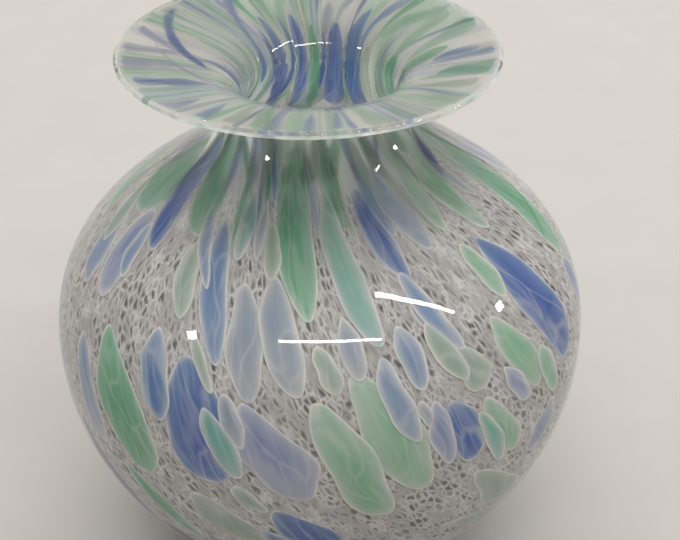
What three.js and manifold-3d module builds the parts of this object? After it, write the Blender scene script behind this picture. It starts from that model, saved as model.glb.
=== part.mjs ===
// A hand blown art glass vase, as the three gathers of glass it was blown from.
// A clear inner bubble was rolled in white frit, then in chips of coloured glass,
// then dipped in clear glass again, blown into a globe and given a wide flared lip.
// Units are millimetres, +Z is up, and the origin is the middle of the foot.
// Azimuth 0 faces the front (-Y) and grows towards the right (+X), in degrees.
// A height on the wall is an arc: the distance along the outside, up from the foot.
import * as THREE from 'three';
import { mergeVertices } from 'three/addons/utils/BufferGeometryUtils.js';
import Module from 'manifold-3d';

const wasm = await Module();
wasm.setup();

// the outer shape
const BODY_RADIUS = 95;
const WAIST_HEIGHT = 87;            // the widest ring, above the foot
const LOWER_HALF_HEIGHT = 94.2;     // the lower half is an ellipse cut off by the foot
const NECK_RADIUS = 30.2;
const NECK_HEIGHT = 175.3;
const RIM_RADIUS = 64;
const RIM_HEIGHT = 190.6;
const RIM_DROP_ANGLE = 0.2132;      // slope of the lip at its edge, radians
const WAIST_PULL = 54.6;            // how far each curve holds its direction as it leaves
const NECK_PULL_DOWN = 28.9;        // the waist, the neck below and above, and the rim
const NECK_PULL_OUT = 7.6;
const NECK_PULL_UP = 10.3;
const RIM_PULL = 18.4;
const LIP_OFFSET = -3.3;            // the hand-worked lip sits a little to the left
const FOOT_RING_INNER = 26;         // inside this the foot is ground hollow
const PONTIL_HOLLOW = 1.8;
const HOLLOW_STEP = 0.6;            // the hollow's curve has one ring, at this share of its radius

// the layers of the wall, as depths below the outside
const CASING_IN = 0.9;
const FRIT_OUT = 1.2;
const FRIT_IN = 2.7;
const INNER_OUT = 3.0;
const WALL = 3.8;
const FLOOR_EXTRA = 3.0;            // the inner bubble is thicker over the foot
const FLOOR_REACH = 30;             // arc over which that extra thickness fades out
const LAYER_STOP = 1.5;             // the clear casing alone closes the last of the lip
const LAYER_GAP = 0.3;

// the coloured chips lie in the frit, in pockets a little larger than they are
const CHIP_FACE = 1.3;
const CHIP_EDGE = 1.45;
const CHIP_BACK = 2.0;
const CHIP_ROUNDNESS = 0.62;        // of its outline: 1 is a pointed leaf, 0 a rectangle
const BACK_ROUNDNESS = 0.5;         // of its back, from tip to tip
const TIP_REACH = 0.7;              // no cross-section lies nearer than this to a tip
const POCKET_GAP = 0.3;
const POCKET_SIDE_GAP = 0.6;        // more beside the chip, where the two outlines slant
const POCKET_MOUTH = 1.5;           // how far a cutter reaches out of the frit

// the fineness of the facets
const SECTORS = 32;
const LOWER_STEPS = 6;
const SHOULDER_STEPS = 8;
const LIP_STEPS = 5;
const BEAD_STEPS = 4;

// Chips of each colour: azimuth and arc of the upper tip, of the lower tip, and the width.
const CHIPS = {
  cobalt: {
    colour: 0x2b4fb0,
    places: [
      [-70, 218, -54, 171, 10], [16, 207, 25, 173, 7], [57, 177, 67, 121, 19],
      [27, 131, 31, 106, 12], [-8, 95, 6, 66, 18], [-31, 146, -24, 103, 15],
      [114, 190, 120, 150, 12], [170, 120, 181, 82, 17], [214, 185, 220, 146, 12],
      [240, 259, 278, 236, 6], [172, 240, 178, 192, 6],
    ],
  },
  blue: {
    colour: 0x5b7fc4,
    places: [
      [-35, 192, -22, 145, 9], [-42, 151, -37, 121, 11], [-88, 142, -73, 104, 13],
      [140, 92, 152, 56, 17], [-65, 261, -61, 240, 7], [94, 260, 88, 241, 6],
    ],
  },
  navy: {
    colour: 0x2a3470,
    places: [[-62, 100, -44, 58, 14], [-40, 66, -22, 38, 15]],
  },
  sky: {
    colour: 0x93a9cf,
    places: [
      [28, 213, 37, 180, 8], [-75, 172, -69, 146, 11], [-60, 134, -51, 98, 12],
      [100, 199, 110, 157, 8], [150, 150, 158, 110, 16], [-108, 150, -98, 110, 15],
    ],
  },
  lilac: {
    colour: 0xa3a3cf,
    places: [
      [-66, 182, -60, 148, 12], [26, 170, 30, 150, 8], [-12, 135, 0, 100, 17],
      [57, 111, 52, 93, 12], [165, 178, 170, 136, 13], [-120, 200, -114, 158, 12],
    ],
  },
  emerald: {
    colour: 0x2f9e6b,
    places: [
      [-57, 219, -43, 183, 8], [-13, 224, -2, 162, 10], [-52, 143, -38, 96, 17],
      [90, 209, 84, 145, 15], [-84, 211, -77, 176, 13], [138, 205, 143, 160, 10],
      [-132, 140, -121, 98, 18], [80, 261, 72, 244, 7],
    ],
  },
  mint: {
    colour: 0x8fcfae,
    places: [
      [1, 137, 14, 91, 14], [9, 146, 22, 100, 16], [43, 152, 51, 121, 12],
      [36, 128, 44, 101, 11], [46, 219, 46, 184, 6], [124, 140, 131, 98, 17],
      [-160, 152, -152, 108, 17], [130, 259, 137, 234, 7], [-14, 260, -18, 241, 6],
    ],
  },
  aqua: {
    colour: 0x62b6ac,
    places: [[3, 207, 14, 153, 9], [188, 210, 192, 168, 9]],
  },
  sage: {
    colour: 0x9db5a8,
    places: [
      [31, 148, 35, 131, 11], [-25, 96, -11, 72, 16], [34, 100, 48, 72, 16],
      [-40, 182, -34, 156, 8], [100, 120, 110, 80, 17],
    ],
  },
  slate: {
    colour: 0x8e9cb8,
    places: [[-20, 173, -14, 135, 11], [-12, 177, -4, 138, 11]],
  },
};

// ---- the outer profile, drawn from the foot up as points (radius, height)

const profile = new THREE.CurvePath();
const footAngle = Math.asin(WAIST_HEIGHT / LOWER_HALF_HEIGHT);
const lower = new THREE.EllipseCurve(0, WAIST_HEIGHT, BODY_RADIUS, LOWER_HALF_HEIGHT, -footAngle, 0);
const shoulder = new THREE.CubicBezierCurve(
  new THREE.Vector2(BODY_RADIUS, WAIST_HEIGHT),
  new THREE.Vector2(BODY_RADIUS, WAIST_HEIGHT + WAIST_PULL),
  new THREE.Vector2(NECK_RADIUS + NECK_PULL_OUT, NECK_HEIGHT - NECK_PULL_DOWN),
  new THREE.Vector2(NECK_RADIUS, NECK_HEIGHT),
);
const lip = new THREE.CubicBezierCurve(
  new THREE.Vector2(NECK_RADIUS, NECK_HEIGHT),
  new THREE.Vector2(NECK_RADIUS, NECK_HEIGHT + NECK_PULL_UP),
  new THREE.Vector2(
    RIM_RADIUS - RIM_PULL * Math.cos(RIM_DROP_ANGLE),
    RIM_HEIGHT - RIM_PULL * Math.sin(RIM_DROP_ANGLE),
  ),
  new THREE.Vector2(RIM_RADIUS, RIM_HEIGHT),
);
for (const curve of [lower, shoulder, lip]) {
  curve.arcLengthDivisions = 800;
  profile.add(curve);
}
const [WAIST_ARC, NECK_ARC, RIM_ARC] = profile.getCurveLengths();

// The place on the wall at an arc and a depth: radius, height and how far the lip has shifted it.
function wallNode(arc, depth) {
  const where = THREE.MathUtils.clamp(arc / RIM_ARC, 0, 1);
  const point = profile.getPoint(where);
  const along = profile.getTangent(where);
  const thickening = FLOOR_EXTRA * THREE.MathUtils.clamp(1 - arc / FLOOR_REACH, 0, 1) ** 2;
  const inward = depth === WALL ? depth + thickening : depth;
  return {
    radius: point.x - along.y * inward,
    height: point.y + along.x * inward,
    shift: LIP_OFFSET * THREE.MathUtils.smoothstep(point.y, NECK_HEIGHT, RIM_HEIGHT),
  };
}

function steps(from, to, count) {
  return Array.from({ length: count }, (_, i) => from + ((to - from) * i) / count);
}
const LAYER_END = RIM_ARC - LAYER_STOP;
const RINGS = [
  ...steps(0, WAIST_ARC, LOWER_STEPS),
  ...steps(WAIST_ARC, NECK_ARC, SHOULDER_STEPS),
  ...steps(NECK_ARC, LAYER_END, LIP_STEPS),
  LAYER_END,
];

// A point on the faceted wall: straight between rings, and straight across each sector.
function wallPoint(azimuth, arc, depth) {
  let upper = RINGS.findIndex((ring) => ring > arc);
  if (upper < 1) upper = RINGS.length - 1;
  const [low, high] = [RINGS[upper - 1], RINGS[upper]];
  const a = wallNode(low, depth);
  const b = wallNode(high, depth);
  const share = (arc - low) / (high - low);
  const sector = (2 * Math.PI) / SECTORS;
  const turn = THREE.MathUtils.degToRad(azimuth);
  const inSector = THREE.MathUtils.euclideanModulo(turn, sector) - sector / 2;
  const chord = Math.cos(sector / 2) / Math.cos(inSector);
  const radius = THREE.MathUtils.lerp(a.radius, b.radius, share) * chord;
  return new THREE.Vector3(
    radius * Math.sin(turn) + THREE.MathUtils.lerp(a.shift, b.shift, share),
    -radius * Math.cos(turn),
    THREE.MathUtils.lerp(a.height, b.height, share),
  );
}

// ---- layers

// Turns a closed outline of wall nodes, which starts and ends on the axis, into a solid.
function turned(nodes) {
  const outline = nodes.map((node) => new THREE.Vector2(node.radius, node.height));
  const geometry = new THREE.LatheGeometry(outline, SECTORS);
  geometry.rotateX(Math.PI / 2);
  const position = geometry.getAttribute('position');
  for (let i = 0; i < position.count; i += 1) {
    position.setX(i, position.getX(i) + nodes[i % nodes.length].shift);
  }
  return closed(geometry);
}

// Merges the vertices that coincide and turns the faces outwards.
function closed(geometry) {
  geometry.deleteAttribute('normal');
  geometry.deleteAttribute('uv');
  const merged = mergeVertices(geometry, 1e-4);
  const kept = [];
  const index = merged.index.array;
  for (let i = 0; i < index.length; i += 3) {
    const [a, b, c] = [index[i], index[i + 1], index[i + 2]];
    if (a !== b && b !== c && c !== a) kept.push(a, b, c);
  }
  merged.setIndex(signedVolume(merged, kept) < 0 ? kept.reverse() : kept);
  return merged;
}

function signedVolume(geometry, index) {
  const position = geometry.getAttribute('position');
  const [a, b, c] = [new THREE.Vector3(), new THREE.Vector3(), new THREE.Vector3()];
  let volume = 0;
  for (let i = 0; i < index.length; i += 3) {
    a.fromBufferAttribute(position, index[i]);
    b.fromBufferAttribute(position, index[i + 1]);
    c.fromBufferAttribute(position, index[i + 2]);
    volume += a.dot(b.cross(c)) / 6;
  }
  return volume;
}

// The foot at a depth: the hollow at the axis, then the flat ring it stands on.
function footNodes(depth) {
  const lift = depth === WALL ? depth + FLOOR_EXTRA : depth;
  const hollow = PONTIL_HOLLOW * (1 - HOLLOW_STEP ** 2);
  return [
    { radius: 0, height: PONTIL_HOLLOW + lift, shift: 0 },
    { radius: FOOT_RING_INNER * HOLLOW_STEP, height: hollow + lift, shift: 0 },
    { radius: FOOT_RING_INNER, height: lift, shift: 0 },
  ];
}

// One side of a layer, from the axis under the foot up to the end of the layers.
function side(depth) {
  return [...footNodes(depth), ...RINGS.map((arc) => wallNode(arc, depth))];
}

// The rounded edge of the lip, from the outside over to the inside.
function bead() {
  const outer = wallNode(RIM_ARC, 0);
  const inner = wallNode(RIM_ARC, WALL);
  const middle = [(outer.radius + inner.radius) / 2, (outer.height + inner.height) / 2];
  const arm = [outer.radius - middle[0], outer.height - middle[1]];
  const out = [-arm[1], arm[0]];
  return Array.from({ length: BEAD_STEPS + 1 }, (_, i) => {
    const turn = (Math.PI * i) / BEAD_STEPS;
    return {
      radius: middle[0] + arm[0] * Math.cos(turn) + out[0] * Math.sin(turn),
      height: middle[1] + arm[1] * Math.cos(turn) + out[1] * Math.sin(turn),
      shift: LIP_OFFSET,
    };
  });
}

const casingStop = LAYER_END + LAYER_GAP;
const layers = {
  outer_casing: turned([
    ...side(0),
    ...bead(),
    wallNode(casingStop, WALL),
    wallNode(casingStop, CASING_IN),
    ...side(CASING_IN).reverse(),
  ]),
  frit_layer: turned([...side(FRIT_OUT), ...side(FRIT_IN).reverse()]),
  inner_wall: turned([...side(INNER_OUT), ...side(WALL).reverse()]),
};

// ---- chips

// Half the width of a chip at a share of its length, 0 at each tip.
function halfWidth(chip, share) {
  return (chip.width / 2) * Math.sin(Math.PI * share) ** CHIP_ROUNDNESS;
}

// Where a chip is cut across: at each ring of the wall that it crosses, and below the neck
// halfway between rings as well.
function chipStations(chip) {
  const halves = RINGS.slice(1).map((arc, i) => (arc + RINGS[i]) / 2).filter((arc) => arc < NECK_ARC);
  return [...RINGS, ...halves]
    .filter((arc) => arc > chip.bottom + TIP_REACH && arc < chip.top - TIP_REACH)
    .sort((a, b) => b - a);
}

// The middle of a chip, its half width in degrees and the depth of its back, at an arc.
// The two gaps widen and deepen it, for its pocket.
function crossSection(chip, arc, sideGap, backGap) {
  const share = THREE.MathUtils.clamp((chip.top - arc) / (chip.top - chip.bottom), 0, 1);
  const halfMm = halfWidth(chip, share) + sideGap;
  const bulge = Math.sin(Math.PI * share) ** BACK_ROUNDNESS;
  return {
    azimuth: THREE.MathUtils.lerp(chip.topAzimuth, chip.bottomAzimuth, share),
    half: THREE.MathUtils.radToDeg(halfMm / wallNode(arc, CHIP_FACE).radius),
    back: THREE.MathUtils.lerp(CHIP_EDGE, CHIP_BACK, bulge) + backGap,
  };
}

// Joins rings of points, each with the same count, and closes the two ends with a fan to a tip.
// Each face is split along its shorter diagonal, which keeps the two sides of a thin chip apart.
function lofted(firstTip, rings, lastTip) {
  const points = [firstTip, ...rings.flat(), lastTip];
  const count = rings[0].length;
  const at = (ring, i) => 1 + ring * count + (i % count);
  const faces = [];
  for (let i = 0; i < count; i += 1) {
    faces.push(0, at(0, i + 1), at(0, i));
    faces.push(points.length - 1, at(rings.length - 1, i), at(rings.length - 1, i + 1));
    for (let ring = 1; ring < rings.length; ring += 1) {
      const [a, b] = [at(ring - 1, i), at(ring - 1, i + 1)];
      const [c, d] = [at(ring, i + 1), at(ring, i)];
      if (points[a].distanceTo(points[c]) < points[b].distanceTo(points[d])) {
        faces.push(a, b, c, a, c, d);
      } else {
        faces.push(a, b, d, b, c, d);
      }
    }
  }
  const geometry = new THREE.BufferGeometry().setFromPoints(points);
  geometry.setIndex(faces);
  return closed(geometry);
}

// A chip is a lens: a crowned face, two thin edges and a bulging back.
function chipSolid(chip) {
  const rings = chipStations(chip).map((arc) => {
    const { azimuth, half, back } = crossSection(chip, arc, 0, 0);
    return [
      wallPoint(azimuth - half, arc, CHIP_EDGE),
      wallPoint(azimuth, arc, CHIP_FACE),
      wallPoint(azimuth + half, arc, CHIP_EDGE),
      wallPoint(azimuth, arc, back),
    ];
  });
  return lofted(
    wallPoint(chip.topAzimuth, chip.top, CHIP_EDGE),
    rings,
    wallPoint(chip.bottomAzimuth, chip.bottom, CHIP_EDGE),
  );
}

// The pocket of a chip: its outline grown by the gap, open through the outer face of the frit.
function pocketSolid(chip) {
  const mouth = FRIT_OUT - POCKET_MOUTH;
  const edge = CHIP_EDGE + POCKET_GAP;
  const [topEnd, bottomEnd] = [chip.top + POCKET_GAP, chip.bottom - POCKET_GAP];
  const rings = [topEnd, ...chipStations(chip), bottomEnd].map((arc) => {
    const { azimuth, half, back } = crossSection(chip, arc, POCKET_SIDE_GAP, POCKET_GAP);
    return [
      wallPoint(azimuth - half, arc, mouth),
      wallPoint(azimuth, arc, mouth),
      wallPoint(azimuth + half, arc, mouth),
      wallPoint(azimuth + half, arc, edge),
      wallPoint(azimuth, arc, back),
      wallPoint(azimuth - half, arc, edge),
    ];
  });
  return lofted(
    wallPoint(chip.topAzimuth, topEnd + POCKET_GAP, FRIT_OUT),
    rings,
    wallPoint(chip.bottomAzimuth, bottomEnd - POCKET_GAP, FRIT_OUT),
  );
}

function toManifold(geometry) {
  return new wasm.Manifold(new wasm.Mesh({
    numProp: 3,
    vertProperties: new Float32Array(geometry.getAttribute('position').array),
    triVerts: new Uint32Array(geometry.index.array),
  }));
}

function fromManifold(solid) {
  const mesh = solid.getMesh();
  const geometry = new THREE.BufferGeometry();
  geometry.setAttribute('position', new THREE.BufferAttribute(mesh.vertProperties, 3));
  geometry.setIndex(new THREE.BufferAttribute(mesh.triVerts, 1));
  return geometry;
}

const vase = new THREE.Group();

function addPiece(name, geometry, look) {
  const mesh = new THREE.Mesh(geometry, new THREE.MeshStandardMaterial({ metalness: 0, ...look }));
  mesh.name = name;
  vase.add(mesh);
}

const clearLook = { color: 0xe4ebe8, roughness: 0.03, transparent: true, opacity: 0.25 };
const fritLook = { color: 0xd9d3d0, roughness: 0.4 };

let frit = toManifold(layers.frit_layer);
for (const [family, { colour, places }] of Object.entries(CHIPS)) {
  places.forEach(([topAzimuth, top, bottomAzimuth, bottom, width], i) => {
    const chip = { topAzimuth, top, bottomAzimuth, bottom, width };
    const number = String(i + 1).padStart(2, '0');
    addPiece(`${family}_chip_${number}`, chipSolid(chip), { color: colour, roughness: 0.1 });
    frit = frit.subtract(toManifold(pocketSolid(chip)));
  });
}

addPiece('outer_casing', layers.outer_casing, clearLook);
addPiece('frit_layer', fromManifold(frit), fritLook);
addPiece('inner_wall', layers.inner_wall, clearLook);

export default vase;
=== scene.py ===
"""The looks of a hand blown art glass vase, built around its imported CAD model."""

import math

import bpy
import numpy as np
from mathutils import Matrix, Vector


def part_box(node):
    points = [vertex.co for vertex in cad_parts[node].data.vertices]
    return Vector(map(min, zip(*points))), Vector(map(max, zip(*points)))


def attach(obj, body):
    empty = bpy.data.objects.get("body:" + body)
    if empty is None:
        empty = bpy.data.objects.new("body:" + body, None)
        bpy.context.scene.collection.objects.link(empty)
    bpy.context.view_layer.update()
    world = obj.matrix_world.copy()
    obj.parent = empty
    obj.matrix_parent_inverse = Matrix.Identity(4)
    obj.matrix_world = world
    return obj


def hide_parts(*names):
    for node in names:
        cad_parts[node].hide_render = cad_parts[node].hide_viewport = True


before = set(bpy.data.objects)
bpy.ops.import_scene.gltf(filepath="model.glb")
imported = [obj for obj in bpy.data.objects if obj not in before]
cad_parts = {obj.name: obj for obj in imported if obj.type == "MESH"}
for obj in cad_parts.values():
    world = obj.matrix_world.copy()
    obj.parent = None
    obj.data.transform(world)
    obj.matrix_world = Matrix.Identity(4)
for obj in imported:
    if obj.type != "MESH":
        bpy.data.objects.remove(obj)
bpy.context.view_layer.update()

# ---------------------------------------------------------------- driving dimensions
# Lengths are in millimetres until place() turns them into metres. An arc is the distance
# along the outside of the wall, up from the foot. Azimuth 0 is the front, in degrees.

MM = 0.001
BODY_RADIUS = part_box("outer_casing")[1].x / MM
UNIT = BODY_RADIUS / 95             # the sizes below are those of a 95 mm body
WAIST_HEIGHT = 87 * UNIT
LOWER_HALF_HEIGHT = 94.2 * UNIT
NECK_RADIUS = 30.2 * UNIT
NECK_HEIGHT = 175.3 * UNIT
RIM_RADIUS = 64 * UNIT
RIM_HEIGHT = 190.6 * UNIT
RIM_DROP_ANGLE = 0.2132             # slope of the lip at its edge, radians
WAIST_PULL = 54.6 * UNIT            # how far each curve holds its direction as it leaves
NECK_PULL_DOWN = 28.9 * UNIT        # the waist, the neck below and above, and the rim
NECK_PULL_OUT = 7.6 * UNIT
NECK_PULL_UP = 10.3 * UNIT
RIM_PULL = 18.4 * UNIT
LIP_OFFSET = -3.3 * UNIT            # the hand-worked lip sits a little to the left
FOOT_RING_INNER = 26 * UNIT         # inside this the foot is ground hollow
PONTIL_HOLLOW = 1.8 * UNIT
FOOT_ROUNDING = 1                   # the flat ring stops this far inside the foot's edge

# Depths below the outside of the wall.
FRIT_OUT = 0.95
CASING_IN = 1.7
INNER_OUT = 2.1
FRIT_IN = 2.85
WALL = 3.8
FLOOR_EXTRA = 3.0                   # the inner bubble is thicker over the foot
FLOOR_REACH = 30                    # arc over which that extra thickness fades out
LAYER_STOP = 0.5                    # the coloured layers end this far before the rim
CASING_LAP = 0.4                    # past those ends by this much, clear glass alone closes the lip
LIP_THINNING = 0.36                 # the wall loses this share of its thickness towards the rim

CHIP_LEVELS = (0.9, 0.76, 0.62)     # the depth of a chip's edge: some chips lie over others
OVER_LEVEL = 0.46                   # the same for the chips laid over those of the CAD model
CHIP_DOME = 0.14                    # its face rises this far above its edge
CHIP_BACK = 2.2
STREAK_BACK = 3.3                   # neck and lip streaks also show on the inside
CAD_EDGE = 1.45                     # a chip's edge and back in the CAD model
CAD_BACK = 2.0
THROUGH_ARC = 200                   # the streaks are the chips that reach above this arc
NECK_FOOT_ARC = 190                 # those that end below this one widen towards their lower tip
RIM_CUT_ARC = 261                   # the rim cuts off those that reach above this one
LOWEST_ARC = 8                      # no scattered chip reaches below this one

GATHER_RADIUS = 60                  # of the bubble before it was blown, for the grain of the glass
SEED = 7

# ---------------------------------------------------------------- the wall


def bezier(points, count):
    """Points along a cubic curve."""
    t = np.linspace(0, 1, count)[:, None]
    a, b, c, d = (np.array(p, float) for p in points)
    return (1 - t) ** 3 * a + 3 * t * (1 - t) ** 2 * b + 3 * t * t * (1 - t) * c + t ** 3 * d


def outer_profile(count=900):
    """Points (radius, height) of the outside, from the foot up to the rim."""
    foot_angle = math.asin(WAIST_HEIGHT / LOWER_HALF_HEIGHT)
    turn = np.linspace(-foot_angle, 0, count)
    lower = np.stack(
        [BODY_RADIUS * np.cos(turn), WAIST_HEIGHT + LOWER_HALF_HEIGHT * np.sin(turn)], 1
    )
    shoulder = bezier(
        [
            (BODY_RADIUS, WAIST_HEIGHT),
            (BODY_RADIUS, WAIST_HEIGHT + WAIST_PULL),
            (NECK_RADIUS + NECK_PULL_OUT, NECK_HEIGHT - NECK_PULL_DOWN),
            (NECK_RADIUS, NECK_HEIGHT),
        ],
        count,
    )
    lip = bezier(
        [
            (NECK_RADIUS, NECK_HEIGHT),
            (NECK_RADIUS, NECK_HEIGHT + NECK_PULL_UP),
            (
                RIM_RADIUS - RIM_PULL * math.cos(RIM_DROP_ANGLE),
                RIM_HEIGHT - RIM_PULL * math.sin(RIM_DROP_ANGLE),
            ),
            (RIM_RADIUS, RIM_HEIGHT),
        ],
        count,
    )
    return np.concatenate([lower, shoulder[1:], lip[1:]])


def smoothstep(x, low, high):
    """Rises smoothly from 0 at low to 1 at high."""
    t = np.clip((np.asarray(x, float) - low) / (high - low), 0, 1)
    return t * t * (3 - 2 * t)


PROFILE = outer_profile()
ARCS = np.concatenate([[0], np.cumsum(np.hypot(*np.diff(PROFILE, axis=0).T))])
TANGENTS = np.gradient(PROFILE, axis=0)
TANGENTS /= np.linalg.norm(TANGENTS, axis=1)[:, None]
RIM_ARC = ARCS[-1]
NECK_ARC = float(np.interp(NECK_HEIGHT, PROFILE[:, 1], ARCS))
LAYER_END = RIM_ARC - LAYER_STOP


def wall_node(arc, depth):
    """Radius, height and sideways shift of the wall at an arc and a depth."""
    depth = depth * (1 - LIP_THINNING * smoothstep(arc, NECK_ARC, RIM_ARC))
    radius = np.interp(arc, ARCS, PROFILE[:, 0])
    height = np.interp(arc, ARCS, PROFILE[:, 1])
    along_r = np.interp(arc, ARCS, TANGENTS[:, 0])
    along_z = np.interp(arc, ARCS, TANGENTS[:, 1])
    shift = LIP_OFFSET * smoothstep(height, NECK_HEIGHT, RIM_HEIGHT)
    return radius - along_z * depth, height + along_r * depth, shift


def place(azimuth, arc, depth):
    """Points of the wall, in metres."""
    radius, height, shift = wall_node(arc, depth)
    turn = np.radians(azimuth)
    points = [radius * np.sin(turn) + shift, -radius * np.cos(turn), height + 0 * turn]
    return np.stack(np.broadcast_arrays(*points), -1) * MM


# How the glass was drawn out: the grain of the gather slants, and stretches towards the neck.
BODY_STRETCH = 1.5
SHOULDER_STRETCH = 1.6              # comes on top of that over these arcs
SHOULDER_ARCS = (120, 200)
NECK_STRETCH = 4.5                  # and this over these
NECK_ARCS = (195, 235)
BODY_SLANT = 0.26                   # fades out over these arcs
BODY_SLANT_ARCS = (95, 190)
NECK_SLANT = 0.22
NECK_SLANT_ARCS = (220, 240)
STRETCH = (
    BODY_STRETCH
    + SHOULDER_STRETCH * smoothstep(ARCS, *SHOULDER_ARCS)
    + NECK_STRETCH * smoothstep(ARCS, *NECK_ARCS)
)
SLANT = (
    BODY_SLANT * (1 - smoothstep(ARCS, *BODY_SLANT_ARCS))
    + NECK_SLANT * (1 - smoothstep(ARCS, *NECK_SLANT_ARCS))
)
STEP = np.gradient(ARCS)
TWIST = np.degrees(np.cumsum(SLANT / PROFILE[:, 0] * STEP))
DRAWN = np.cumsum(GATHER_RADIUS / (PROFILE[:, 0] * STRETCH) * STEP)


def twist(arc):
    """Azimuth by which a line of the gather has been turned back at this arc."""
    return -np.interp(arc, ARCS, TWIST)


def flow(azimuth, arc):
    """Where a point of the wall was on the gather, so a grain drawn there is drawn out here."""
    turn = np.radians(azimuth - twist(arc))
    height = np.interp(arc, ARCS, DRAWN)
    return np.stack([GATHER_RADIUS * np.cos(turn), GATHER_RADIUS * np.sin(turn), height], -1)


# ---------------------------------------------------------------- meshes

SECTORS = 192                       # round the casing and the frit
INNER_SECTORS = 144
HOLLOW_RINGS = 8
RING_SHARES = (0.25, 0.5, 0.75, 1)  # rows across the ring it stands on
FIRST_ARC = 0.6                     # the side's rows start here
BODY_ARC = 190                      # those of the body end here
NECK_ROWS_ARC = 192                 # and those of the neck and lip start here
BODY_ROWS = 74
NECK_ROWS = 56
RIM_BEAD_STEPS = 14
LAYER_BEAD_STEPS = 8


def make_mesh(name, points, faces, floats=None, vectors=None):
    """A smooth-shaded closed mesh object with its normals out and its attributes on the points."""
    mesh = bpy.data.meshes.new(name)
    mesh.from_pydata(np.asarray(points).tolist(), [], faces)
    for key, values in (floats or {}).items():
        layer = mesh.attributes.new(key, "FLOAT", "POINT")
        layer.data.foreach_set("value", np.asarray(values, np.float32))
    for key, values in (vectors or {}).items():
        layer = mesh.attributes.new(key, "FLOAT_VECTOR", "POINT")
        layer.data.foreach_set("vector", np.asarray(values, np.float32).ravel())
    mesh.polygons.foreach_set("use_smooth", np.ones(len(mesh.polygons), bool))
    mesh.update()
    piece = bpy.data.objects.new(name, mesh)
    bpy.context.scene.collection.objects.link(piece)
    return piece


def signed_volume(points, faces):
    """Six times the volume that the faces close in: negative if they face inwards."""
    corners = [(f[0], f[i], f[i + 1]) for f in faces for i in range(1, len(f) - 1)]
    a, b, c = (points[list(side)] for side in zip(*corners))
    return float((a * np.cross(b, c)).sum())


def turned(name, rows, arcs, sectors):
    """A solid of revolution whose outline rows (radius, height, shift) start and end on the axis."""
    rows = np.array(rows, float)
    azimuths = np.arange(sectors) * 360 / sectors
    turn = np.radians(azimuths)
    inner = rows[1:-1]
    count = len(inner)
    x = inner[:, 0][:, None] * np.sin(turn)[None, :] + inner[:, 2][:, None]
    y = -inner[:, 0][:, None] * np.cos(turn)[None, :]
    z = np.repeat(inner[:, 1][:, None], sectors, 1)
    grid = np.stack([x, y, z], -1).reshape(-1, 3)
    first = [rows[0, 2], 0, rows[0, 1]]
    last = [rows[-1, 2], 0, rows[-1, 1]]
    points = np.concatenate([[first], grid, [last]]) * MM

    def at(row, i):
        return 1 + row * sectors + i % sectors

    faces = []
    for i in range(sectors):
        faces.append((0, at(0, i), at(0, i + 1)))
        faces.append((len(points) - 1, at(count - 1, i + 1), at(count - 1, i)))
    for row in range(count - 1):
        for i in range(sectors):
            faces.append((at(row, i), at(row + 1, i), at(row + 1, i + 1), at(row, i + 1)))
    if signed_volume(points, faces) < 0:
        faces = [face[::-1] for face in faces]
    arc = np.concatenate([[arcs[0]], np.repeat(arcs[1:-1], sectors), [arcs[-1]]])
    azimuth = np.concatenate([[0], np.tile(azimuths, count), [0]])
    reach = np.concatenate([[0], np.repeat(inner[:, 0], sectors), [0]])
    grain = flow(azimuth, arc)      # under the foot it runs on to the middle
    grain[:, :2] *= np.where(arc > 0, 1, reach / PROFILE[0, 0])[:, None]
    return make_mesh(name, points, faces, {"arc": arc}, {"flow": grain})


def foot_rows(depth):
    """The underside at a depth: the ground hollow at the axis, then the ring it stands on."""
    rows = []
    for share in np.linspace(0, 1, HOLLOW_RINGS + 1):
        rows.append((FOOT_RING_INNER * share, PONTIL_HOLLOW * (1 - share ** 2) + depth, 0))
    outer = PROFILE[0, 0] - FOOT_ROUNDING
    for share in RING_SHARES:
        rows.append((FOOT_RING_INNER + (outer - FOOT_RING_INNER) * share, depth, 0))
    return rows


def side_arcs(end):
    """Arcs of the rows of a layer: closer together in the neck and on the lip."""
    body = np.linspace(FIRST_ARC, BODY_ARC, BODY_ROWS)
    return np.concatenate([body, np.linspace(NECK_ROWS_ARC, end, NECK_ROWS)])


def layer_side(depth, end, thick_floor=False):
    """Rows and arcs of one face of a layer, from the axis under the foot up to its end."""
    arcs = side_arcs(end)
    extra = FLOOR_EXTRA * np.clip(1 - arcs / FLOOR_REACH, 0, 1) ** 2 if thick_floor else 0 * arcs
    foot = foot_rows(depth + (FLOOR_EXTRA if thick_floor else 0))
    rows = foot + list(zip(*wall_node(arcs, depth + extra)))
    return rows, [0] * len(foot) + list(arcs)


def edge_rows(outer_depth, inner_depth, arc, bulge, count):
    """A rounded end that joins two faces of a layer, from the outer one over to the inner.

    A bulge of 1 makes it half a circle.
    """
    a = np.array(wall_node(arc, outer_depth))
    b = np.array(wall_node(arc, inner_depth))
    middle, arm = (a + b) / 2, (a - b) / 2
    out = np.array([-arm[1], arm[0], 0]) * bulge
    turns = np.pi * np.arange(1, count) / count
    return [tuple(middle + arm * math.cos(t) + out * math.sin(t)) for t in turns]


def shell(name, outer_depth, inner_depth, end, bulge, sectors, thick_floor=False):
    """A closed layer between two depths, with a rounded end at the rim."""
    outer, outer_arcs = layer_side(outer_depth, end)
    inner, inner_arcs = layer_side(inner_depth, end, thick_floor)
    bead = edge_rows(outer_depth, inner_depth, end, bulge, LAYER_BEAD_STEPS)
    rows = outer + bead + inner[::-1]
    arcs = outer_arcs + [end] * len(bead) + inner_arcs[::-1]
    return turned(name, rows, np.array(arcs), sectors)


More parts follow.
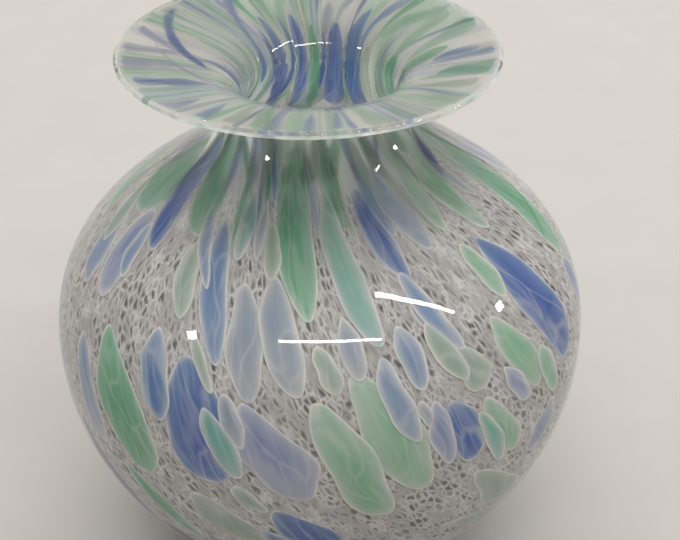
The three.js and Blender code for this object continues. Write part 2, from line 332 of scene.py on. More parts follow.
def casing():
    """The outer gather: it also wraps round the rim and meets the inner wall on the far side."""
    outer, outer_arcs = layer_side(0, RIM_ARC)
    inner_end = LAYER_END + CASING_LAP
    inner, inner_arcs = layer_side(CASING_IN, inner_end)
    bead = edge_rows(0, WALL, RIM_ARC, 1.0, RIM_BEAD_STEPS)
    lap = [tuple(wall_node(RIM_ARC, WALL)), tuple(wall_node(inner_end, WALL))]
    rows = outer + bead + lap + inner[::-1]
    arcs = outer_arcs + [RIM_ARC] * (len(bead) + len(lap)) + inner_arcs[::-1]
    return turned("outer_casing_glass", rows, np.array(arcs), SECTORS)


# ---------------------------------------------------------------- chips


class Chip:
    """Where a chip lies: azimuth and arc of its two tips, and its width."""

    def __init__(self, top_azimuth, top, bottom_azimuth, bottom, width, drawn=False):
        self.top_azimuth = top_azimuth
        self.top = top
        self.bottom_azimuth = bottom_azimuth
        self.bottom = bottom
        self.width = width
        self.drawn = drawn          # its middle line follows the drawn-out glass
        self.strength = 1.0         # how deep its colour is
        self.over = False           # it lies over the chips of the CAD model

    @property
    def through(self):
        """Chips of the neck and the lip reach through to the inside."""
        return self.top > THROUGH_ARC

    @property
    def at_rim(self):
        """Streaks that the rim cuts off are widest there."""
        return self.top > RIM_CUT_ARC

    def middle(self, share):
        """Azimuth and arc of its middle line, at a share of the way from its upper tip."""
        arc = self.top + (self.bottom - self.top) * share
        start, end = self.top_azimuth, self.bottom_azimuth
        if self.drawn:
            start, end = start - twist(self.top), end - twist(self.bottom)
        azimuth = start + (end - start) * share
        if self.drawn:
            azimuth = azimuth + twist(arc)
        return azimuth, arc


TABLE_STEPS = 1400


def cad_chip(node):
    """Reads a chip's place from its CAD node."""
    points = np.array([v.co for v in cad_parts[node].data.vertices]) / MM
    shift = LIP_OFFSET * smoothstep(points[:, 2], NECK_HEIGHT, RIM_HEIGHT)
    x, y, z = points[:, 0] - shift, points[:, 1], points[:, 2]
    table_arc = np.linspace(0, RIM_ARC, TABLE_STEPS)
    table_r, table_z, _ = wall_node(table_arc, (CAD_EDGE + CAD_BACK) / 2)
    radius = np.hypot(x, y)
    gap = (radius[:, None] - table_r[None]) ** 2 + (z[:, None] - table_z[None]) ** 2
    arc = table_arc[gap.argmin(1)]
    first, last = arc.argmax(), arc.argmin()
    azimuth = np.degrees(np.arctan2(x, -y))
    azimuth = azimuth[first] + (azimuth - azimuth[first] + 180) % 360 - 180
    chip = Chip(azimuth[first], arc[first], azimuth[last], arc[last], 0)
    share = (chip.top - arc) / (chip.top - chip.bottom)
    away = np.radians(np.abs(azimuth - chip.middle(share)[0])) * radius
    chip.width = 2 * float(away.max())
    return chip


ACROSS = 7                          # half the points across a chip's face
STATIONS = 22                       # cross-sections along a chip
WIDEST_OF_RIM_STREAK = 0.05         # a rim streak is widest this share of the way down
BLUNTNESS = (0.38, 0.58)            # of a chip's tips: 1 is a pointed leaf, 0 a rectangle
SKEW = (0.95, 1.3)                  # above 1 a chip is widest nearer its lower tip
STREAK_SKEW = (1.25, 1.6)
UNEVENNESS = (0.04, 0.11)           # share of the width by which each wave moves an outline
WAVES = (5, 11)                     # radians that each wave turns from tip to tip
LEAN = 0.12                         # most that a chip's middle bows aside, in widths
# How full a face is along and across the chip: 1 is a plain arch, 0 a flat top with steep sides.
FACE_FULLNESS = (0.5, 0.7)
BACK_FULLNESS = (0.5, 0.7)
STREAK_BACK_FULLNESS = (0.12, 0.12)
RIM_STREAK_TAPER = 0.6              # how a rim streak narrows, and thins, towards its tip
RIM_STREAK_THINNING = 0.5
TIP_EDGE = 0.8                      # way to a tip counts this much as distance from the edge


def ring_faces(count, rings):
    """Faces of rings of points, closed by a fan to the tip before them and the tip after them."""
    first, last = rings * count, rings * count + 1
    faces = []
    for i in range(count):
        k = (i + 1) % count
        faces.append((first, i, k))
        faces.append((last, (rings - 1) * count + k, (rings - 1) * count + i))
        for ring in range(rings - 1):
            a, b = ring * count, (ring + 1) * count
            faces.append((a + i, b + i, b + k, a + k))
    return faces


ACROSS_SHARES = np.sin(np.linspace(-1, 1, 2 * ACROSS + 1) * math.pi / 2)
SECTION = np.concatenate([ACROSS_SHARES, ACROSS_SHARES[-2:0:-1]])
ON_FACE = np.arange(len(SECTION)) <= 2 * ACROSS
CHIP_FACES = ring_faces(len(SECTION), STATIONS - 1)


def chip_outline(chip, share, rng):
    """Half the width of a chip along its two sides, uneven as if it had been broken off."""
    skew = rng.uniform(*SKEW)
    if chip.through and chip.bottom < NECK_FOOT_ARC:
        skew = rng.uniform(*STREAK_SKEW)
    blunt = rng.uniform(*BLUNTNESS)
    swell = np.sin(np.pi * np.clip(share, 0, 1) ** skew).clip(0) ** blunt
    if chip.at_rim:
        opening = np.clip(share / WIDEST_OF_RIM_STREAK, 0, 1) ** 0.5
        swell = opening * (1 - share) ** RIM_STREAK_TAPER
    sides = []
    for _ in range(2):
        wave, ripple = rng.uniform(*UNEVENNESS, 2)
        a, b = rng.uniform(0, 2 * math.pi, 2)
        uneven = 1 + wave * np.sin(WAVES[0] * share + a) + ripple * np.sin(WAVES[1] * share + b)
        sides.append(chip.width / 2 * swell * uneven)
    return sides


def chip_mesh(chip, rng):
    """Points, attributes and grain of one chip: a thin lens with an uneven outline."""
    length = chip.top - chip.bottom
    back = CHIP_BACK
    back_along, back_across = BACK_FULLNESS
    level = CHIP_LEVELS[rng.integers(len(CHIP_LEVELS))]
    if chip.over:
        level = OVER_LEVEL
    if chip.through:
        level = CHIP_LEVELS[0] if chip.drawn else min(level, CHIP_LEVELS[1])
        back = STREAK_BACK + CHIP_LEVELS[1] - level
        back_along, back_across = STREAK_BACK_FULLNESS
    share = (1 - np.cos(np.pi * np.linspace(0, 1, STATIONS + 1))) / 2
    left, right = chip_outline(chip, share, rng)
    azimuth, arc = chip.middle(share)
    lean = rng.uniform(-LEAN, LEAN) * chip.width * np.sin(np.pi * share)

    inner = np.s_[1:-1, None]
    u = SECTION[None]
    half = np.where(u > 0, right[inner], left[inner])
    reach = u * half + lean[inner]
    turn = azimuth[inner] + np.degrees(reach / wall_node(arc, level)[0][inner])
    swell = np.sin(np.pi * share[inner])
    if chip.at_rim:
        opening = np.clip(share[inner] / WIDEST_OF_RIM_STREAK, 0, 1)
        swell = opening * (1 - share[inner]) ** RIM_STREAK_THINNING
    face = level - CHIP_DOME * swell ** FACE_FULLNESS[0] * (1 - u * u) ** FACE_FULLNESS[1]
    behind = level + (back - level) * swell ** back_along * (1 - u * u) ** back_across
    depth = np.where(ON_FACE[None], face, behind)
    points = place(turn, arc[inner] + 0 * turn, depth).reshape(-1, 3)
    tips = place(azimuth[[0, -1]], arc[[0, -1]], level)
    to_tip = 1 - share[inner] if chip.at_rim else np.minimum(share, 1 - share)[inner]
    edge = np.minimum((1 - np.abs(u)) * half, to_tip * length * TIP_EDGE)

    def spread_out(values):
        return np.append((values[inner] + 0 * turn).ravel(), [values[0], values[-1]])

    flows = flow(turn.ravel(), (arc[inner] + 0 * turn).ravel())
    ends = flow(azimuth[[0, -1]], arc[[0, -1]])
    everywhere = np.ones(points.shape[0] + 2)
    floats = {
        "edge": np.append(edge.ravel(), [0, 0]),
        "along": spread_out(share),
        "arc": spread_out(arc),
        "half": everywhere * chip.width / 2,
        "tone": everywhere * rng.uniform(0, 1),
        "strength": everywhere * chip.strength,
    }
    return np.concatenate([points, tips]), floats, np.concatenate([flows, ends])


def chip_piece(name, chips, rng):
    """One object that holds one chip, or several of one colour."""
    points, faces, flows, floats = [], [], [], {}
    for chip in chips:
        own_points, own_floats, own_flows = chip_mesh(chip, rng)
        start = sum(len(block) for block in points)
        flip = signed_volume(own_points - own_points.mean(0), CHIP_FACES) < 0
        for face in CHIP_FACES:
            faces.append(tuple(i + start for i in (face[::-1] if flip else face)))
        points.append(own_points)
        flows.append(own_flows)
        for key, value in own_floats.items():
            floats.setdefault(key, []).append(value)
    floats = {key: np.concatenate(value) for key, value in floats.items()}
    return make_mesh(name, np.concatenate(points), faces, floats, {"flow": np.concatenate(flows)})


# ---------------------------------------------------------------- materials


class Tree:
    """A short way to write a node tree: each call adds one node and returns its output."""

    def __init__(self, name):
        self.material = bpy.data.materials.new(name)
        self.material.use_nodes = True
        self.tree = self.material.node_tree
        self.tree.nodes.clear()

    def node(self, kind, settings=None, inputs=None):
        made = self.tree.nodes.new(kind)
        for key, value in (settings or {}).items():
            setattr(made, key, value)
        for key, value in (inputs or {}).items():
            self.feed(made.inputs[key], value)
        return made

    def feed(self, socket, value):
        if isinstance(value, bpy.types.NodeSocket):
            self.tree.links.new(value, socket)
        elif isinstance(value, tuple) and socket.type == "RGBA" and len(value) == 3:
            socket.default_value = (*value, 1)
        else:
            socket.default_value = value

    def attribute(self, name, output="Fac"):
        return self.node("ShaderNodeAttribute", {"attribute_name": name}).outputs[output]

    def math(self, operation, a, b=0.0):
        return self.node("ShaderNodeMath", {"operation": operation}, {0: a, 1: b}).outputs[0]

    def vector(self, operation, a, b=(0, 0, 0), scale=None):
        inputs = {0: a, 1: b}
        if scale is not None:
            inputs = {0: a, "Scale": scale}
        return self.node("ShaderNodeVectorMath", {"operation": operation}, inputs).outputs[0]

    def smooth(self, value, low, high, start=0.0, end=1.0):
        inputs = {"Value": value, "From Min": low, "From Max": high, "To Min": start, "To Max": end}
        settings = {"interpolation_type": "SMOOTHSTEP", "clamp": True}
        return self.node("ShaderNodeMapRange", settings, inputs).outputs["Result"]

    def mix(self, share, a, b):
        """A mix of two colours: 6, 7 and 2 are the places of the node's colour sockets."""
        made = self.node("ShaderNodeMix", {"data_type": "RGBA", "clamp_factor": True})
        self.feed(made.inputs["Factor"], share)
        self.feed(made.inputs[6], a)
        self.feed(made.inputs[7], b)
        return made.outputs[2]

    def noise(self, vector, scale, detail=2.0, rough=0.5, output="Fac"):
        inputs = {"Vector": vector, "Scale": scale, "Detail": detail, "Roughness": rough}
        return self.node("ShaderNodeTexNoise", None, inputs).outputs[output]

    def voronoi(self, vector, scale, feature, output):
        settings = {"feature": feature, "voronoi_dimensions": "3D"}
        inputs = {"Vector": vector, "Scale": scale}
        return self.node("ShaderNodeTexVoronoi", settings, inputs).outputs[output]

    def mix_shader(self, share, a, b):
        return self.node("ShaderNodeMixShader", None, {0: share, 1: a, 2: b}).outputs[0]

    def surface(self, shader):
        self.node("ShaderNodeOutputMaterial", None, {"Surface": shader})
        return self.material


SURFACE_COLOUR = 0.3                # a power of the colour: light crosses a face and a back


def body_shader(t, colour, roughness, normal, see):
    """Coloured glass inside the wall: it scatters light, and a share comes through from behind."""
    inputs = {
        "Base Color": colour,
        "Roughness": roughness,
        "Specular IOR Level": 0.15,
        "Normal": normal,
    }
    front = t.node("ShaderNodeBsdfPrincipled", None, inputs).outputs[0]
    part_way = t.node("ShaderNodeGamma", None, {"Color": colour, "Gamma": SURFACE_COLOUR}).outputs[0]
    behind = t.node("ShaderNodeBsdfTranslucent", None, {"Color": part_way}).outputs[0]
    return t.mix_shader(see, front, behind)


def clear_glass(name, tint):
    """Clear glass that lets light through to what lies in it."""
    t = Tree(name)
    where = t.node("ShaderNodeTexCoord").outputs["Object"]
    ripple = t.noise(where, 38.0, 0.0)
    bump = t.node("ShaderNodeBump", None, {"Strength": 0.45, "Distance": 0.0012, "Height": ripple})
    wear = t.smooth(t.noise(where, 300.0, 3.0), 0.35, 0.8, 0.015, 0.035)
    inputs = {"Color": tint, "Roughness": wear, "IOR": 1.5, "Normal": bump.outputs[0]}
    glass = t.node("ShaderNodeBsdfGlass", None, inputs).outputs[0]
    clear = t.node("ShaderNodeBsdfTransparent", None, {"Color": tint}).outputs[0]
    path = t.node("ShaderNodeLightPath").outputs
    unbent = t.math("MAXIMUM", path["Is Shadow Ray"], path["Is Diffuse Ray"])
    return t.surface(t.mix_shader(unbent, glass, clear))


def frit_material():
    """White crushed glass: a pale lace round small gaps, drawn out to streaks on the lip. The gaps hold
    painted shade: the dim inside of the vase, which would show through them.
    """
    t = Tree("white_frit_glass")
    at = t.attribute("flow", "Vector")
    arc = t.attribute("arc")
    wander = t.noise(at, 0.6, 3.0, output="Color")
    wander = t.vector("SUBTRACT", wander, (0.5, 0.5, 0.5))
    warped = t.vector("ADD", at, t.vector("SCALE", wander, scale=1.5))

    edge = t.voronoi(warped, 0.66, "DISTANCE_TO_EDGE", "Distance")
    cell = t.voronoi(warped, 0.66, "F1", "Color")
    pick = t.node("ShaderNodeSeparateColor", None, {0: cell}).outputs[0]
    fine = t.voronoi(warped, 1.7, "DISTANCE_TO_EDGE", "Distance")
    crowd = t.noise(at, 0.05, 2.0)
    cloud = t.noise(at, 0.3, 3.0)

    # a coarse and a fine web of white threads on a milky ground
    web = t.mix(t.smooth(cloud, 0.35, 0.65), (0.4, 0.37, 0.362), (0.68, 0.64, 0.625))
    mottle = t.smooth(t.noise(at, 0.9, 3.0), 0.35, 0.65)
    ground = t.mix(mottle, (0.3, 0.268, 0.265), (0.43, 0.4, 0.385))
    colour = t.mix(t.smooth(fine, 0.0, 0.12, 0.15, 1.0), web, ground)
    colour = t.mix(t.smooth(edge, 0.0, 0.2, 0.75, 0.0), colour, web)
    # gaps with ragged rims, crowded in places, on the body only, filled with painted shade: the dark of
    # the hollow inside seen through them
    dark = t.math("SUBTRACT", t.math("MULTIPLY", crowd, 1.7), pick)
    ragged = t.math("ADD", edge, t.math("MULTIPLY", t.math("SUBTRACT", cloud, 0.5), 0.5))
    painted_gap_shade = t.math("MULTIPLY", t.smooth(dark, -0.15, 0.6), t.smooth(ragged, 0.02, 0.42))
    on_body = t.smooth(arc, 200, 222, 1.0, 0.0)
    # painted shade in the gaps, for the dim inside of the vase
    colour = t.mix(t.math("MULTIPLY", painted_gap_shade, on_body), colour, (0.085, 0.074, 0.07))

    # cream streaks on the neck and the lip, some with a tinge of green or of blue
    long_grain = t.vector("MULTIPLY", at, (1, 1, 0.22))
    streak = t.noise(long_grain, 0.3, 5.0, 0.62)
    tinge = t.noise(long_grain, 0.08, 3.0)
    cream = t.mix(t.smooth(streak, 0.32, 0.68), (0.58, 0.54, 0.5), (0.8, 0.76, 0.71))
    cream = t.mix(t.smooth(tinge, 0.5, 0.66, 0.0, 0.7), cream, (0.42, 0.62, 0.48))
    cream = t.mix(t.smooth(tinge, 0.5, 0.34, 0.0, 0.7), cream, (0.44, 0.5, 0.66))
    colour = t.mix(t.smooth(arc, 196, 226), colour, cream)

    bump = t.node(
        "ShaderNodeBump",
        None,
        {"Strength": 0.5, "Distance": 0.0003, "Height": t.smooth(edge, 0.0, 0.25, 1.0, 0.0)},
    ).outputs[0]
    see = t.smooth(arc, 165, 205, 0.4, 0.8)
    roughness = t.smooth(fine, 0.0, 0.2, 0.35, 0.6)
    return t.surface(body_shader(t, colour, roughness, bump, see))


OUTLINE = (0.68, 0.65, 0.62)


def chip_material(name, deep, pale):
    """Coloured glass of a chip: a deep core, paler ends and sides, and a thin whitish outline.

    Higher up, where the glass was drawn out, the outline gives way to soft streaks.
    The grain is in millimetres of the gather, and edge, half and arc in those of the vase.
    """
    t = Tree(name)
    at = t.attribute("flow", "Vector")
    edge = t.attribute("edge")
    along = t.attribute("along")
    half = t.attribute("half")
    tone = t.attribute("tone")
    arc = t.attribute("arc")
    drawn_out = t.smooth(arc, 170, 206)
    long_grain = t.vector("MULTIPLY", at, (1, 1, 0.25))
    streak = t.noise(long_grain, 0.6, 4.0, 0.6)
    cloud = t.noise(at, 0.14, 3.0)

    # the core, which fades towards one tip or the other
    ragged = t.math("ADD", edge, t.math("MULTIPLY", t.math("SUBTRACT", cloud, 0.5), 2.4))
    core = t.smooth(t.math("DIVIDE", ragged, half), -0.05, 0.85)
    from_top = t.smooth(along, 0.35, 1.0, 1.0, 0.35)
    from_bottom = t.smooth(along, 0.0, 0.6, 0.3, 1.0)
    flipped = t.smooth(tone, 0.55, 0.6)
    upright = t.math("MULTIPLY", t.math("SUBTRACT", 1.0, flipped), from_top)
    fade = t.math("ADD", upright, t.math("MULTIPLY", flipped, from_bottom))
    depth = t.math("MULTIPLY", t.math("MULTIPLY", core, fade), t.attribute("strength"))
    depth = t.math("MULTIPLY", depth, t.smooth(streak, 0.3, 0.7, 0.7, 1.08))
    colour = t.mix(depth, pale, deep)
    # milky sides where it was drawn out
    milky = t.math("MULTIPLY", t.smooth(streak, 0.62, 0.36, 0.05, 0.45), drawn_out)
    side = t.smooth(t.math("ADD", edge, t.math("MULTIPLY", streak, 1.6)), 0.6, 2.4, 1.0, 0.0)
    colour = t.mix(t.math("MULTIPLY", milky, side), colour, OUTLINE)
    colour = t.mix(t.smooth(arc, 232, 262, 0.0, 0.12), colour, OUTLINE)
    # edges of the glass that shows from under the chip, and wisps in it
    bent = t.vector("ADD", at, t.vector("SCALE", t.noise(at, 0.1, 1.0, output="Color"), scale=9.0))
    under = t.voronoi(t.vector("MULTIPLY", bent, (1, 1, 0.45)), 0.13, "DISTANCE_TO_EDGE", "Distance")
    lower_edge = t.smooth(under, 0.0, 0.05, 0.25, 0.0)
    colour = t.mix(lower_edge, colour, OUTLINE)
    wisp = t.math("ABSOLUTE", t.math("SUBTRACT", t.noise(long_grain, 0.22, 2.0), 0.5))
    colour = t.mix(t.smooth(wisp, 0.0, 0.06, 0.16, 0.0), colour, OUTLINE)
    # a soft halo inside the edge, and the outline, broken here and there
    halo = t.math("MULTIPLY", t.smooth(edge, 0.0, 2.8, 0.35, 0.0), t.smooth(drawn_out, 1.0, 0.0))
    colour = t.mix(halo, colour, OUTLINE)
    broken = t.smooth(t.noise(at, 0.35, 3.0), 0.35, 0.6, 0.2, 0.9)
    thin = t.math("MULTIPLY", broken, t.smooth(drawn_out, 0.0, 1.0, 1.0, 0.25))
    outline = t.math("MULTIPLY", thin, t.smooth(edge, 0.3, 1.15, 1.0, 0.0))
    colour = t.mix(outline, colour, OUTLINE)
    bump = t.node(
        "ShaderNodeBump", None, {"Strength": 0.3, "Distance": 0.0002, "Height": streak}
    ).outputs[0]
    roughness = t.smooth(cloud, 0.3, 0.7, 0.25, 0.45)
    see = t.smooth(arc, 165, 205, 0.42, 0.82)
    return t.surface(body_shader(t, colour, roughness, bump, see))


def floor_material():
    """Plain pale paint with a faint speckle."""
    t = Tree("pale_floor")
    where = t.node("ShaderNodeTexCoord").outputs["Object"]
    speck = t.noise(where, 30.0, 4.0)
    colour = t.mix(speck, (0.37, 0.35, 0.33), (0.4, 0.38, 0.36))
    inputs = {"Base Color": colour, "Roughness": 0.7}
    return t.surface(t.node("ShaderNodeBsdfPrincipled", None, inputs).outputs[0])


# The deep and the pale colour of each family of chips.
COLOURS = {
    "cobalt": ((0.03, 0.085, 0.35), (0.12, 0.2, 0.4)),
    "blue": ((0.06, 0.15, 0.37), (0.23, 0.32, 0.45)),
    "navy": ((0.015, 0.03, 0.13), (0.07, 0.1, 0.25)),
    "sky": ((0.18, 0.27, 0.43), (0.36, 0.4, 0.48)),
    "lilac": ((0.19, 0.235, 0.42), (0.38, 0.395, 0.48)),
    "emerald": ((0.07, 0.32, 0.16), (0.2, 0.42, 0.28)),
    "mint": ((0.19, 0.43, 0.26), (0.38, 0.5, 0.4)),
    "aqua": ((0.14, 0.4, 0.32), (0.33, 0.45, 0.42)),
    "sage": ((0.27, 0.37, 0.29), (0.39, 0.44, 0.38)),
    "slate": ((0.25, 0.3, 0.39), (0.39, 0.41, 0.44)),
}

# ---------------------------------------------------------------- the glass

materials = {}
for family, (deep, pale) in COLOURS.items():
    materials[family] = chip_material(f"{family}_glass", deep, pale)


def dress(piece, material, slot, *nodes):
    """Gives a piece its material and its ride, and hides the CAD nodes that it stands for."""
    piece.data.materials.append(material)
    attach(piece, "root")
    if nodes:
        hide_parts(*nodes)
    return piece


casing_glass = clear_glass("clear_casing_glass", (0.97, 0.985, 0.98))
inner_glass = clear_glass("clear_inner_glass", (0.98, 0.985, 0.98))
dress(casing(), casing_glass, "clear_casing_glass", "outer_casing")
dress(
    shell("inner_wall_glass", INNER_OUT, WALL, LAYER_END, 0.15, INNER_SECTORS, thick_floor=True),
    inner_glass,
    "clear_inner_glass",
    "inner_wall",
)
dress(
    shell("frit_lace", FRIT_OUT, FRIT_IN, LAYER_END, 0.6, SECTORS),
    frit_material(),
    "white_frit_glass",
    "frit_layer",
)

# Chips that lie a little beside their CAD nodes, are wider than the usual or are paler than the
# rest of their colour: azimuth shift, share of the width, strength of the colour.
NUDGES = {
    "aqua_chip_01": (0, 1.25, 0.9),
    "blue_chip_01": (0, 1.2, 0.7),
    "blue_chip_02": (4, 1.2, 1.0),
    "cobalt_chip_02": (1, 1.3, 1.0),
    "cobalt_chip_03": (-3, 1.1, 1.0),
    "cobalt_chip_04": (1, 1.3, 0.8),
    "cobalt_chip_05": (0, 1.2, 0.85),
    "cobalt_chip_06": (2, 1.65, 0.75),
    "cobalt_chip_11": (-4, 1.5, 1.0),
    "emerald_chip_01": (0, 1.5, 0.9),
    "emerald_chip_02": (0, 1.25, 0.75),
    "emerald_chip_03": (0, 1.4, 0.9),
    "emerald_chip_04": (0, 1.3, 0.85),
    "emerald_chip_05": (2, 1.8, 0.85),
    "lilac_chip_03": (-3, 1.5, 1.0),
    "mint_chip_01": (-1, 1.35, 1.0),
    "mint_chip_02": (-1, 1.3, 0.8),
}
USUAL = (0, 1.2, 1.0)               # every other chip

# Chips and streaks with no node of their own, by colour: azimuth and arc of the upper tip, of
# the lower tip, and the width.
FRONT_CHIPS = {
    "lilac": [(-99, 205, -84, 188, 3), (42, 135, 47, 119, 9), (24, 133, 27, 108, 9)],
    "mint": [
        (-114, 196, -87, 160, 15), (47, 178, 50, 155, 9), (54, 134, 58, 113, 10),
        (60, 218, 59, 183, 8), (53, 214, 62, 176, 9),
    ],
    "slate": [
        (-22, 203, -19, 181, 4), (-19, 137, -15, 119, 8), (6, 164, 9, 143, 8),
        (21, 134, 23, 124, 5), (64, 214, 71, 186, 5),
    ],
    "aqua": [(-29, 206, -25, 180, 6), (-23, 131, -16, 107, 11), (34, 124, 40, 100, 8)],
    "blue": [
        (-28, 223, -18, 201, 3), (37, 222, 34, 214, 3), (80, 146, 84, 122, 13),
        (-84, 128, -62, 84, 12), (-12, 84, 8, 54, 16),
    ],
    "emerald": [(-51, 221, -35, 208, 4), (11, 224, 8, 211, 4), (-44, 96, -28, 66, 13)],
    "sage": [
        (-17, 195, -13, 175, 6), (-3, 224, -3, 210, 4), (0, 155, 4, 139, 8),
        (-29, 154, -22, 136, 5), (-16, 104, -11, 93, 9), (29, 76, 52, 62, 22),
        (-88, 186, -74, 160, 10), (26, 158, 32, 136, 9),
    ],
    "navy": [(72, 218, 65, 198, 6), (-70, 84, -50, 50, 13)],
    "sky": [
        (19, 159, 22, 137, 9), (14, 150, 20, 120, 10), (24, 176, 33, 146, 8),
        (-62, 178, -57, 158, 7), (-44, 196, -30, 168, 6),
    ],
}
LIP_STREAKS = {
    "blue": [
        (-126, 262, -84, 236, 8), (-150, 262, -134, 227, 6), (-44, 264, -45, 249, 7),
        (-32, 263, -36, 245, 7), (1, 264, 1, 240, 6), (9, 262, 12, 240, 5),
        (-138, 233, -133, 222, 4), (90, 264, 84, 236, 7), (142, 262, 150, 222, 6),
        (-66, 263, -60, 236, 9),
    ],
    "slate": [(-103, 256, -54, 234, 4), (172, 250, 174, 232, 5), (160, 263, 168, 236, 6)],
    "lilac": [(-92, 264, -96, 238, 8), (-80, 264, -80, 236, 10), (-108, 263, -90, 236, 7)],
    "cobalt": [
        (152, 250, 162, 193, 8), (-152, 246, -150, 198, 6), (-144, 236, -156, 198, 5),
        (-168, 244, -166, 192, 6),
    ],
    "emerald": [
        (78, 264, 66, 238, 11), (-12, 264, -18, 236, 9), (-178, 240, -174, 191, 6),
        (115, 234, 120, 216, 9), (100, 250, 92, 228, 8),
    ],
    "mint": [
        (128, 262, 116, 230, 11), (114, 264, 98, 230, 11), (-170, 262, -162, 232, 8),
        (-4, 264, -2, 234, 12), (24, 264, 20, 236, 12), (48, 264, 44, 236, 13),
        (-58, 264, -54, 238, 7),
    ],
    "sage": [(-158, 222, -166, 194, 3), (-22, 262, -26, 236, 8), (66, 262, 56, 236, 9)],
}


SAMPLE_SHARES = np.linspace(0.08, 0.92, 7)
SAMPLE_ROUNDNESS = 0.6
LEAST_DRAWN = 0.8                   # share of its length that a scattered chip has low down
MORE_DRAWN = 0.5                    # what it gains over these arcs
DRAWN_ARCS = (110, 190)


def samples(chip):
    """Points along the middle of a chip, with half its width: enough to tell if two chips meet."""
    azimuth, arc = chip.middle(SAMPLE_SHARES)
    half = chip.width / 2 * np.sin(np.pi * SAMPLE_SHARES) ** SAMPLE_ROUNDNESS
    return np.column_stack([place(azimuth, arc, 0) / MM, half])


def fits(chip, taken, overlap):
    """True if a chip overlaps none of those already laid by more than a share of their widths."""
    here = samples(chip)
    gap = np.linalg.norm(here[:, None, :3] - taken[None, :, :3], axis=2)
    reach = here[:, None, 3] + taken[None, :, 3]
    return bool((gap > reach * (1 - overlap)).all())


def scatter(rng, tries, azimuths, arcs, lengths, widths, overlap, taken):
    """Lays chips where there is room, along the way that the glass was drawn."""
    laid = []
    for _ in range(tries):
        azimuth = rng.uniform(*azimuths)
        middle = rng.uniform(*arcs)
        drawn_out = LEAST_DRAWN + MORE_DRAWN * smoothstep(middle, *DRAWN_ARCS)
        length = rng.uniform(*lengths) * drawn_out
        width = rng.uniform(*widths)
        top, bottom = middle + length / 2, middle - length / 2
        if bottom < LOWEST_ARC:
            continue
        if bottom > NECK_ARC:
            top = LAYER_END
        lean = twist(top) - twist(middle), twist(bottom) - twist(middle)
        chip = Chip(azimuth + lean[0], top, azimuth + lean[1], bottom, width, drawn=True)
        if fits(chip, taken, overlap):
            chip.strength = rng.uniform(0.3, 1)
            laid.append(chip)
            taken = np.concatenate([taken, samples(chip)])
    return laid, taken


rng = np.random.default_rng(SEED)
placed = []
for node in sorted(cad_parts):
    if "_chip_" not in node:
        continue
    family = node.split("_chip_")[0]
    chip = cad_chip(node)
    shift, share, chip.strength = NUDGES.get(node, USUAL)
    chip.top_azimuth += shift
    chip.bottom_azimuth += shift
    chip.width *= share
    placed.append(chip)
    dress(chip_piece(f"{node}_glass", [chip], rng), materials[family], f"{family}_glass", node)

loose = {}                          # chips with no node, by (colour, chips or streaks)
for kind, table in (("chips", FRONT_CHIPS), ("streaks", LIP_STREAKS)):
    for family, rows in table.items():
        chips = [Chip(*row) for row in rows]
        for chip in chips:
            chip.over = kind == "chips"
        placed += chips
        loose[family, kind] = chips

taken = np.concatenate([samples(chip) for chip in placed])
AROUND = (-180, 180)
BEHIND = (78, 282)
FAMILIES = list(COLOURS)
# how often each family comes up among the scattered ones, in the order of COLOURS
SHARES = {
    "chips": np.array([12, 11, 4, 13, 12, 10, 14, 6, 12, 6]),
    "streaks": np.array([10, 12, 2, 6, 8, 26, 16, 6, 10, 4]),
}
# what to scatter: kind, tries, azimuths, arcs, lengths, widths, overlap allowed
SCATTERS = (
    ("chips", 500, BEHIND, (45, 190), (28, 46), (10, 17), 0.1),
    ("chips", 260, AROUND, (12, 62), (20, 34), (10, 16), 0.1),
    ("chips", 700, BEHIND, (40, 200), (12, 24), (5, 9), 0.1),
    ("streaks", 1200, AROUND, (200, 228), (20, 36), (2.2, 6), 0.5),
    ("streaks", 900, AROUND, (246, 251), (26, 36), (2, 5), 0.5),
)
for kind, tries, azimuths, arcs, lengths, widths, overlap in SCATTERS:
    laid, taken = scatter(rng, tries, azimuths, arcs, lengths, widths, overlap, taken)
    odds = SHARES[kind] / SHARES[kind].sum()
    for chip, family in zip(laid, rng.choice(FAMILIES, len(laid), p=odds)):
        loose.setdefault((str(family), kind), []).append(chip)
for (family, kind), chips in sorted(loose.items()):
    dress(chip_piece(f"{family}_{kind}", chips, rng), materials[family], f"{family}_glass")

# ---------------------------------------------------------------- floor, light and camera

VASE_MIDDLE = (0, 0, 0.12)          # metres from here on, and watts
FLOOR_SIZE = 12


def floor():
    """A flat square under the vase."""
    half = FLOOR_SIZE / 2
    corners = [(-half, -half, 0), (half, -half, 0), (half, half, 0), (-half, half, 0)]
    made = make_mesh("floor", corners, [(0, 1, 2, 3)])
    made.data.materials.append(floor_material())
    return made


floor()


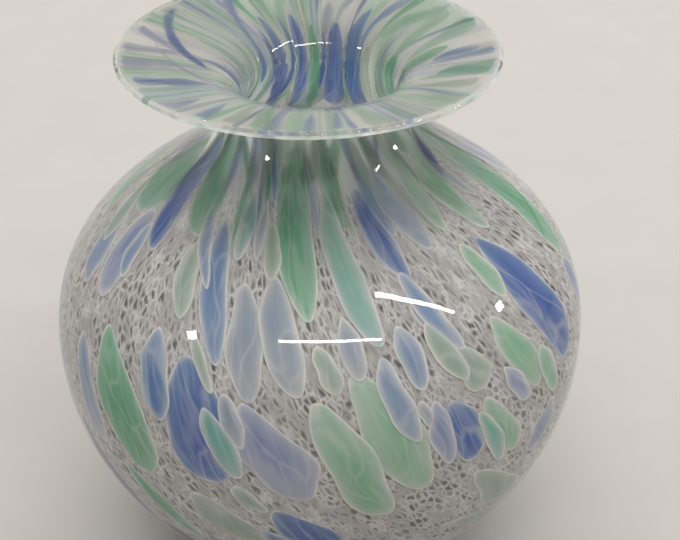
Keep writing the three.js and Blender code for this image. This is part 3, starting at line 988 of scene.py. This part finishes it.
def area_light(name, centre, size, power):
    """A rectangular light that faces the vase, its long side kept level along X."""
    data = bpy.data.lights.new(name, "AREA")
    data.shape = "RECTANGLE"
    data.size, data.size_y = size
    data.energy = power
    lamp = bpy.data.objects.new(name, data)
    lamp.location = centre
    away = Vector(centre) - Vector(VASE_MIDDLE)
    side = Vector((1, 0, 0))
    up = away.cross(side).normalized()
    side = up.cross(away).normalized()
    turn = np.array([side, up, away.normalized()]).T
    lamp.rotation_euler = Matrix(turn.tolist()).to_euler()
    bpy.context.scene.collection.objects.link(lamp)
    return lamp


area_light("front_tube", (0.14, -1.27, 1.62), (1.4, 0.045), 12)
area_light("side_tube", (1.06, -0.54, 1.62), (1.0, 0.045), 8)
area_light("left_bulb", (-1.55, -0.82, 1.22), (0.12, 0.12), 4)
area_light("right_bulb", (2.61, 0.2, 1.18), (0.16, 0.16), 7)
overhead = area_light("soft_overhead", (-0.3, 0.4, 2.6), (3.0, 3.0), 49)
behind = area_light("soft_behind", (0.3, 2.2, 1.1), (3.0, 1.6), 46)

# The glass passes light on many times more than a render follows it, so a weak light inside
# stands in for that.
glow_data = bpy.data.lights.new("inner_glow", "POINT")
glow_data.energy = 0.19
glow_data.shadow_soft_size = 0.02
inner_glow = bpy.data.objects.new("inner_glow", glow_data)
inner_glow.location = (0, 0, 0.135)
inner_glow.visible_camera = False
bpy.context.scene.collection.objects.link(inner_glow)

for lamp in (overhead, behind, inner_glow):
    lamp.visible_glossy = False     # its outline would show in the glass
    lamp.visible_transmission = False

world = bpy.data.worlds.new("studio")
bpy.context.scene.world = world
world.use_nodes = True
backdrop = world.node_tree.nodes["Background"]
backdrop.inputs["Color"].default_value = (0.92, 0.88, 0.85, 1)
backdrop.inputs["Strength"].default_value = 0.62

CAMERA_SHIFT = 0.0072               # the vase stands a little to the left of the middle
camera_data = bpy.data.cameras.new("camera")
camera_data.lens = 84.7
camera_data.sensor_width = 36
camera = bpy.data.objects.new("camera", camera_data)
camera.location = (CAMERA_SHIFT, -0.4944, 0.4074)
aim = Vector((CAMERA_SHIFT, 0, 0.1058)) - camera.location
camera.rotation_euler = aim.to_track_quat("-Z", "Y").to_euler()
bpy.context.scene.collection.objects.link(camera)
bpy.context.scene.camera = camera
bpy.context.scene.view_settings.view_transform = "Standard"
